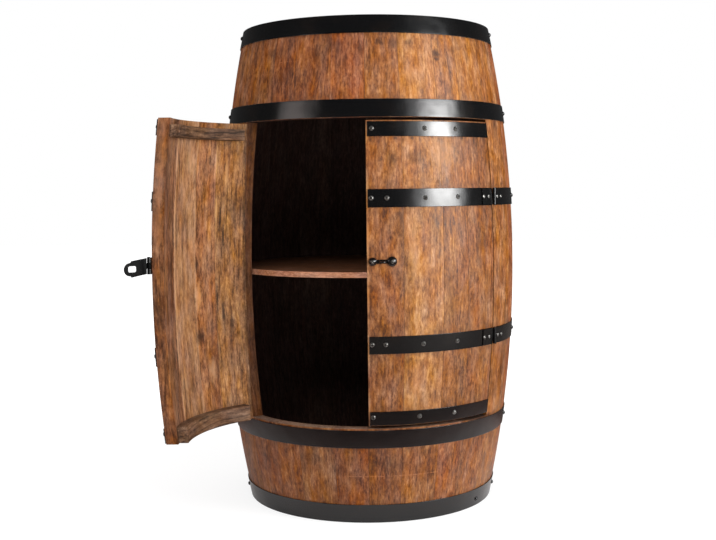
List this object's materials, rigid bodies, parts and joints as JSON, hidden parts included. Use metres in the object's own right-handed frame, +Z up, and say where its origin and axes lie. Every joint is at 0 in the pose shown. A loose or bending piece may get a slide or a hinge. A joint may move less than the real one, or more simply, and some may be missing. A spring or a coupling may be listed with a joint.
{
  "type": "barrel bar cabinet",
  "caption": "Stave barrel cabinet with curved strap-hinged double doors, a round shelf inside, dark steel hoops and a hasp that closes over a staple.",
  "frame": {"origin": "on the barrel's axis, in the plane of its bottom rim, where it stands on the floor", "axes": "+Z up along the barrel's axis; the doors meet on the -Y side, with the left door towards -X as seen from the front"},
  "size_m": [0.5959, 0.628, 0.8],
  "materials": {
    "barrel_wood": "warm brown stain, satin",
    "door_wood": "warm brown stain, satin",
    "batten_wood": "dark stain",
    "head_wood": "warm brown stain, satin",
    "shelf_wood": "dull brown stain",
    "hoop_steel": "black, satin",
    "fastener_steel": "black, semi-gloss"
  },
  "bodies": {
    "root": {"bottom_chime_hoop": "hoop_steel", "bottom_head": "head_wood", "hinge_fixed_leaves": "hoop_steel", "hinge_fixed_screws": "fastener_steel", "hinge_pins": "fastener_steel", "hoop_nails": "fastener_steel", "hoop_rivets": "fastener_steel", "lower_bilge_hoop": "hoop_steel", "lower_front_staves": "barrel_wood", "lower_quarter_hoop": "hoop_steel", "shelf": "shelf_wood", "shelf_cleats": "shelf_wood", "stave_01": "barrel_wood", "stave_02": "barrel_wood", "stave_03": "barrel_wood", "stave_04": "barrel_wood", "stave_05": "barrel_wood", "stave_06": "barrel_wood", "stave_07": "barrel_wood", "stave_08": "barrel_wood", "stave_09": "barrel_wood", "stave_10": "barrel_wood", "stave_11": "barrel_wood", "stave_12": "barrel_wood", "stave_13": "barrel_wood", "stave_14": "barrel_wood", "top_chime_hoop": "hoop_steel", "top_head": "head_wood", "upper_bilge_hoop": "hoop_steel", "upper_front_staves": "barrel_wood", "upper_quarter_hoop": "hoop_steel"},
    "left_door": {"hasp_pin": "fastener_steel", "hasp_plate": "hoop_steel", "left_door_bottom_batten": "batten_wood", "left_door_bottom_strap": "hoop_steel", "left_door_lower_hinge_strap": "hoop_steel", "left_door_screws": "fastener_steel", "left_door_stave_1": "door_wood", "left_door_stave_2": "door_wood", "left_door_stave_3": "door_wood", "left_door_stave_4": "door_wood", "left_door_top_batten": "batten_wood", "left_door_top_strap": "hoop_steel", "left_door_upper_hinge_strap": "hoop_steel", "left_hinge_door_leaves": "hoop_steel"},
    "hasp": {"hasp_strap": "hoop_steel"},
    "right_door": {"right_door_bottom_batten": "batten_wood", "right_door_bottom_strap": "hoop_steel", "right_door_lower_hinge_strap": "hoop_steel", "right_door_screws": "fastener_steel", "right_door_stave_1": "door_wood", "right_door_stave_2": "door_wood", "right_door_stave_3": "door_wood", "right_door_stave_4": "door_wood", "right_door_top_batten": "batten_wood", "right_door_top_strap": "hoop_steel", "right_door_upper_hinge_strap": "hoop_steel", "right_hinge_door_leaves": "hoop_steel", "staple": "hoop_steel"}
  },
  "joints": [
    {"name": "left_door_hinge", "type": "hinge", "parent": "root", "child": "left_door", "pos_m": [-0.20683, -0.14536, 0.4], "axis": [0, 0, 1], "range_deg": [-81.3, 88.7]},
    {"name": "right_door_hinge", "type": "hinge", "parent": "root", "child": "right_door", "pos_m": [0.20683, -0.14536, 0.4], "axis": [0, 0, 1], "range_deg": [0, 170]},
    {"name": "hasp_hinge", "type": "hinge", "parent": "left_door", "child": "hasp", "pos_m": [-0.31196, -0.35412, 0.424], "axis": [0, 0, 1], "range_deg": [-106.7, 53.3]}
  ]
}
